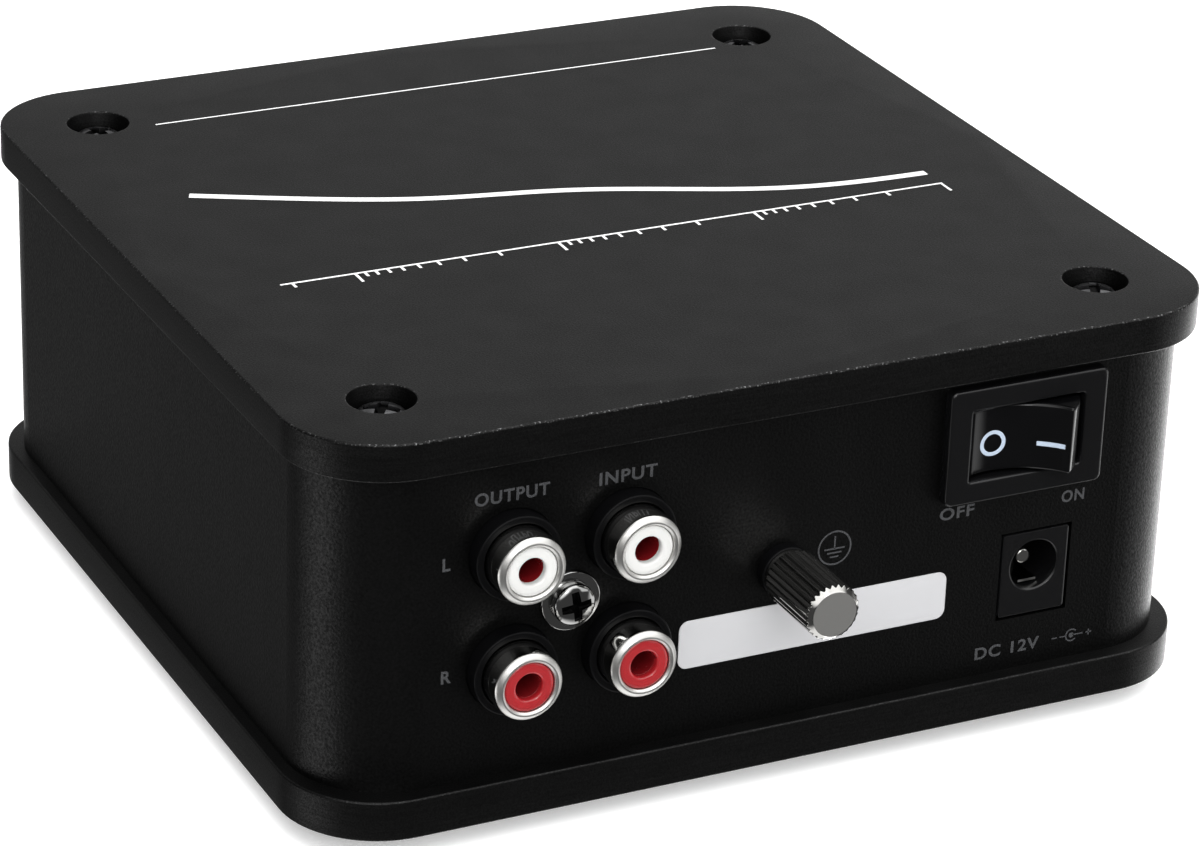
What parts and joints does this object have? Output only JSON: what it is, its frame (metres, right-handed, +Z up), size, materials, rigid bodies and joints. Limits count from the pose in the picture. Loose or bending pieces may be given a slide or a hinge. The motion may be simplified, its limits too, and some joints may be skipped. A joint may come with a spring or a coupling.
{
  "type": "phono preamp",
  "caption": "Square desktop phono preamp: thick dark plates over a round-cornered sleeve, with phono jacks, a ground post, a rocker switch and a DC inlet at the rear.",
  "frame": {"origin": "middle of the overall footprint, on the plane of the feet", "axes": "+Z up, +Y out of the rear wall that carries the connectors, +X to the left seen from behind"},
  "size_m": [0.116, 0.127, 0.052],
  "materials": {
    "plate_anodise": "bead-blasted black anodise",
    "sleeve_anodise": "fine satin black anodise",
    "black_steel": "black zinc plate",
    "foot_rubber": "matte",
    "black_plastic": "fine matte",
    "gloss_black_plastic": "polished",
    "nickel_plate": "polished nickel plate",
    "white_plastic": "glossy",
    "red_plastic": "glossy",
    "black_nickel": "black nickel plate",
    "contact_brass": "bright",
    "lead_plastic": "satin",
    "label_metal": "satin white print",
    "board_laminate": "solder mask",
    "chip_plastic": "fine matte",
    "film_plastic": "glossy",
    "capacitor_sleeve": "shrink sleeve",
    "enamelled_copper": "enamelled",
    "resistor_coat": "glossy",
    "light_lens": "translucent",
    "tinned_steel": "tinned"
  },
  "bodies": {
    "enclosure": {"base_plate": "plate_anodise", "base_screws": "black_steel", "board_screws": "tinned_steel", "board_standoff_1": "contact_brass", "board_standoff_2": "contact_brass", "board_standoff_3": "contact_brass", "board_standoff_4": "contact_brass", "body_sleeve": "sleeve_anodise", "circuit_board": "board_laminate", "dc_housing": "black_plastic", "dc_leaf": "nickel_plate", "dc_pin": "nickel_plate", "film_capacitor_left": "film_plastic", "film_capacitor_right": "film_plastic", "foot_front_left": "foot_rubber", "foot_front_right": "foot_rubber", "foot_rear_left": "foot_rubber", "foot_rear_right": "foot_rubber", "ground_lock_nut": "tinned_steel", "ground_spacer": "black_plastic", "ground_stud": "tinned_steel", "ground_tag": "tinned_steel", "jack_block": "black_plastic", "jack_contact_input_left": "contact_brass", "jack_contact_input_right": "contact_brass", "jack_contact_output_left": "contact_brass", "jack_contact_output_right": "contact_brass", "jack_insulator_input_left": "white_plastic", "jack_insulator_input_right": "red_plastic", "jack_insulator_output_left": "white_plastic", "jack_insulator_output_right": "red_plastic", "jack_screw": "nickel_plate", "jack_shell_input_left": "nickel_plate", "jack_shell_input_right": "nickel_plate", "jack_shell_output_left": "nickel_plate", "jack_shell_output_right": "nickel_plate", "led_holder": "black_plastic", "opamp_left": "chip_plastic", "opamp_pins": "tinned_steel", "opamp_right": "chip_plastic", "power_led": "light_lens", "rear_label": "label_metal", "reservoir_capacitor_1": "capacitor_sleeve", "reservoir_capacitor_2": "capacitor_sleeve", "reservoir_capacitor_3": "capacitor_sleeve", "resistors": "resistor_coat", "selector_switch": "tinned_steel", "supply_inductor": "enamelled_copper", "switch_common": "contact_brass", "switch_housing": "black_plastic", "switch_leads": "lead_plastic", "switch_live": "contact_brass", "top_plate": "plate_anodise", "top_screws": "black_steel", "voltage_regulator": "chip_plastic"},
    "switch_rocker_body": {"switch_rocker": "gloss_black_plastic"},
    "switch_seesaw_body": {"switch_seesaw": "contact_brass"},
    "ground_washer_body": {"ground_washer": "black_nickel"},
    "ground_nut_body": {"ground_thumb_nut": "black_nickel"},
    "selector_button_body": {"selector_button": "black_plastic"}
  },
  "joints": [
    {"name": "rocker_tilt", "type": "hinge", "parent": "enclosure", "child": "switch_rocker_body", "pos_m": [-0.0307, 0.04888, 0.039], "axis": [0, 0, 1], "range_deg": [0, 36]},
    {"name": "seesaw_tilt", "type": "hinge", "parent": "enclosure", "child": "switch_seesaw_body", "pos_m": [-0.0307, 0.04258, 0.039], "axis": [0, 0, 1], "range_deg": [-16, 0]},
    {"name": "ground_nut_travel", "type": "slide", "parent": "enclosure", "child": "ground_washer_body", "axis": [0, 1, 0], "range_m": [0, 0.0021]},
    {"name": "ground_nut_turn", "type": "hinge", "parent": "ground_washer_body", "child": "ground_nut_body", "pos_m": [0.0001, 0.05307, 0.0273], "axis": [0, 1, 0], "range_deg": [0, 1080]},
    {"name": "selector_press", "type": "slide", "parent": "enclosure", "child": "selector_button_body", "axis": [0, 1, 0], "range_m": [0, 0.0025], "stiffness_N_per_m": 300, "springref_m": -0.003}
  ],
  "couplings": [
    {"joint": "seesaw_tilt", "follows": "rocker_tilt", "ratio": -0.44444},
    {"joint": "ground_nut_turn", "follows": "ground_nut_travel", "rad_per_m": 8976}
  ]
}
